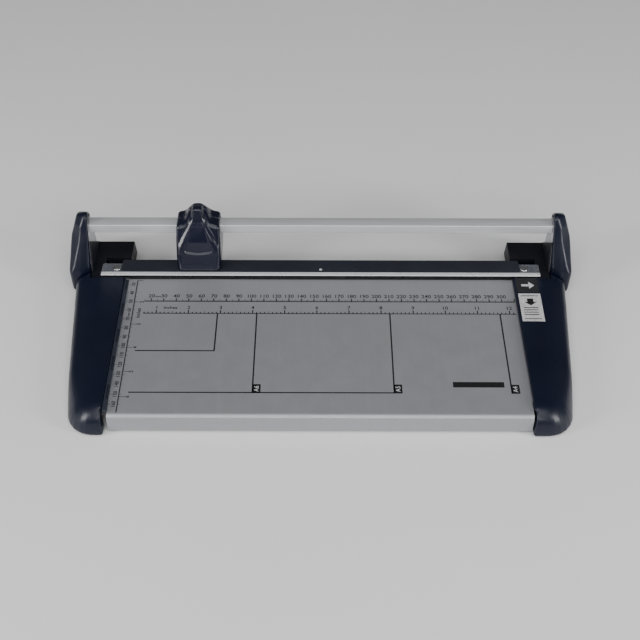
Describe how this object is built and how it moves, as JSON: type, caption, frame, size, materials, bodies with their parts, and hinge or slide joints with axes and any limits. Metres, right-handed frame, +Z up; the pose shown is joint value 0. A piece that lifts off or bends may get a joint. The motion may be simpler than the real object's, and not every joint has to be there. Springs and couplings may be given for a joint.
{
  "type": "rotary paper trimmer",
  "caption": "Desktop rotary paper trimmer: flat metal bed between moulded side covers, guide rail on two towers, sliding cutting head with a sprung round blade and a sheet clamp.",
  "frame": {"origin": "on the ground, in the middle of the whole machine's footprint box", "axes": "+X to the right along the cut and the rail, +Y away from the user towards the rail, +Z up"},
  "size_m": [0.4108, 0.2046, 0.0727],
  "materials": {
    "bed_paint": "satin",
    "blade_steel": "ground",
    "frame_steel": "satin zinc",
    "navy_plastic": "fine satin",
    "head_plastic": "semi-gloss",
    "charcoal_plastic": "matte",
    "fence_plastic": "satin",
    "rail_metal": "anodised",
    "screw_steel": "zinc plated",
    "foot_rubber": "matte",
    "grip_rubber": "matte",
    "clear_plastic": "smoked, polished",
    "band_vinyl": "satin",
    "edge_metal": "polished",
    "rivet_metal": "satin",
    "pin_steel": "polished",
    "spring_steel": "drawn wire",
    "bush_plastic": "satin",
    "carriage_plastic": "matte"
  },
  "bodies": {
    "base": {"bed_plate": "bed_paint", "counter_blade": "blade_steel", "counter_blade_screws": "screw_steel", "grip_strip": "grip_rubber", "rear_channel": "frame_steel", "front_channel": "frame_steel", "left_side_rail": "frame_steel", "right_side_rail": "frame_steel", "left_side_cover": "navy_plastic", "right_side_cover": "navy_plastic", "paper_fence": "fence_plastic", "cover_screws": "screw_steel", "right_front_foot": "foot_rubber", "left_front_foot": "foot_rubber", "right_rear_foot": "foot_rubber", "left_rear_foot": "foot_rubber", "left_end_deck": "charcoal_plastic", "right_end_deck": "charcoal_plastic", "left_tower_cap": "navy_plastic", "right_tower_cap": "navy_plastic", "left_rail_bracket": "frame_steel", "right_rail_bracket": "frame_steel", "bracket_screws": "screw_steel", "rail": "rail_metal", "rail_screws": "screw_steel", "left_clamp_post": "pin_steel", "right_clamp_post": "pin_steel", "left_clamp_spring": "spring_steel", "right_clamp_spring": "spring_steel"},
    "clamp": {"clamp_strip": "clear_plastic", "clamp_band": "band_vinyl", "clamp_edge": "edge_metal", "clamp_rivet": "rivet_metal"},
    "head": {"head_front_shell": "head_plastic", "head_rear_shell": "head_plastic", "head_screws": "screw_steel", "head_carriage": "carriage_plastic", "left_glide_bush": "bush_plastic", "right_glide_bush": "bush_plastic"},
    "cartridge": {"blade_cartridge": "carriage_plastic", "retaining_clip": "spring_steel", "blade_axle": "pin_steel", "cartridge_spring": "spring_steel"},
    "blade": {"rotary_blade": "blade_steel", "blade_hub": "bush_plastic"}
  },
  "joints": [
    {"name": "head_slide", "type": "slide", "parent": "base", "child": "head", "axis": [1, 0, 0], "range_m": [-0.0688, 0.2664]},
    {"name": "blade_float", "type": "slide", "parent": "head", "child": "cartridge", "axis": [0, 1, 0], "range_m": [0, 0.0008], "stiffness_N_per_m": 1500, "springref_m": -0.002, "deforming": ["cartridge_spring"]},
    {"name": "blade_spin", "type": "hinge", "parent": "cartridge", "child": "blade", "pos_m": [-0.0988, 0.07425, 0.0293], "axis": [0, 1, 0], "continuous": true},
    {"name": "clamp_press", "type": "slide", "parent": "base", "child": "clamp", "axis": [0, 0, 1], "range_m": [-0.00115, 0], "stiffness_N_per_m": 600, "springref_m": 0.003, "deforming": ["left_clamp_spring", "right_clamp_spring"]}
  ],
  "couplings": [
    {"joint": "blade_spin", "follows": "head_slide", "rad_per_m": 71.429}
  ]
}
